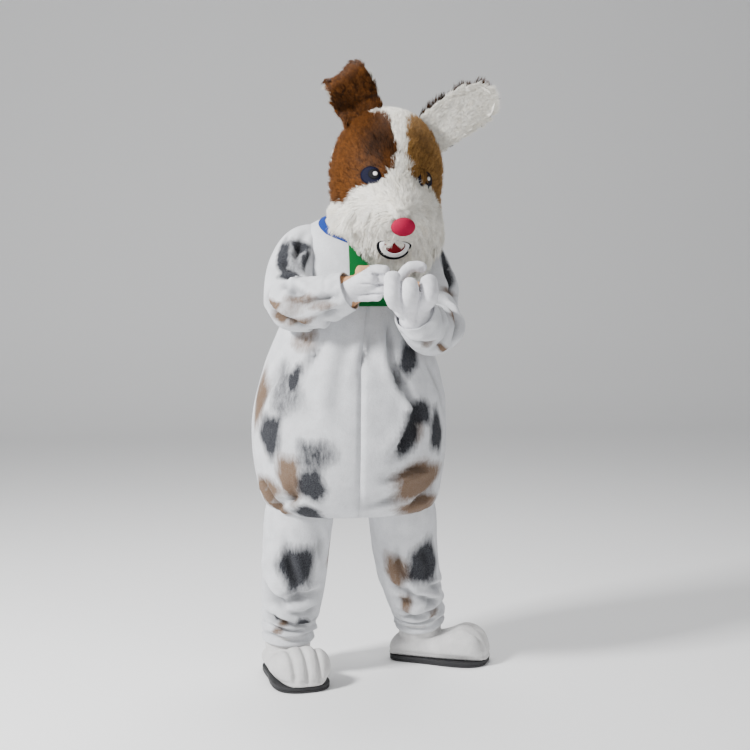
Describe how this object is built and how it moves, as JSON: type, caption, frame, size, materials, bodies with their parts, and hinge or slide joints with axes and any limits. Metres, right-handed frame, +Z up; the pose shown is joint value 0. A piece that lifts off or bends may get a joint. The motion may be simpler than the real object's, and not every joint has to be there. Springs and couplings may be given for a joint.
{
  "type": "dog mascot costume",
  "caption": "Worn dog mascot costume kept hollow: furry head with ears, plush jumpsuit with airbrushed spots, cupped gloves and padded boots",
  "frame": {"origin": "between the wearer's shoulders inside the jumpsuit, 1.45 m above the floor, where the wearer carries the costume", "axes": "+Z up, the costume faces -Y, +X to the right of a viewer in front of it"},
  "size_m": [0.8119, 0.6823, 1.9766],
  "materials": {
    "white_fur": "long pile faux fur",
    "brown_fur": "faux fur, brushed darker and lighter",
    "tan_fur": "faux fur, streaked",
    "white_plush": "short pile plush with airbrushed spots",
    "beige_plush": "short pile plush",
    "navy_plastic": "smooth",
    "black_felt": "felt",
    "white_felt": "felt",
    "pink_felt": "felt",
    "red_felt": "felt",
    "blue_cloth": "woven",
    "green_cloth": "woven",
    "black_sole": "matte"
  },
  "bodies": {
    "root": {"head_crown": "white_fur", "head_back_left": "white_fur", "head_back_right": "white_fur", "head_muzzle": "white_fur", "head_chin": "white_fur", "ear_left_lining": "white_fur", "ear_right_lining": "white_fur", "head_patch_left": "brown_fur", "ear_left_outer": "brown_fur", "ear_right_outer": "brown_fur", "head_patch_right": "tan_fur", "suit_front_left": "white_plush", "suit_front_right": "white_plush", "suit_back_left": "white_plush", "suit_back_right": "white_plush", "sleeve_left": "white_plush", "sleeve_right": "white_plush", "leg_left_front": "white_plush", "leg_left_back": "white_plush", "leg_right_front": "white_plush", "leg_right_back": "white_plush", "glove_left": "white_plush", "glove_right": "white_plush", "boot_left": "white_plush", "boot_right": "white_plush", "palm_left": "beige_plush", "palm_right": "beige_plush", "eye_left": "navy_plastic", "eye_right": "navy_plastic", "pupil_left": "black_felt", "pupil_right": "black_felt", "mouth_edge": "black_felt", "glint_left": "white_felt", "glint_right": "white_felt", "mouth_lip": "white_felt", "nose": "pink_felt", "mouth_inner": "red_felt", "collar": "blue_cloth", "bib": "green_cloth", "sole_left": "black_sole", "sole_right": "black_sole"}
  },
  "joints": []
}
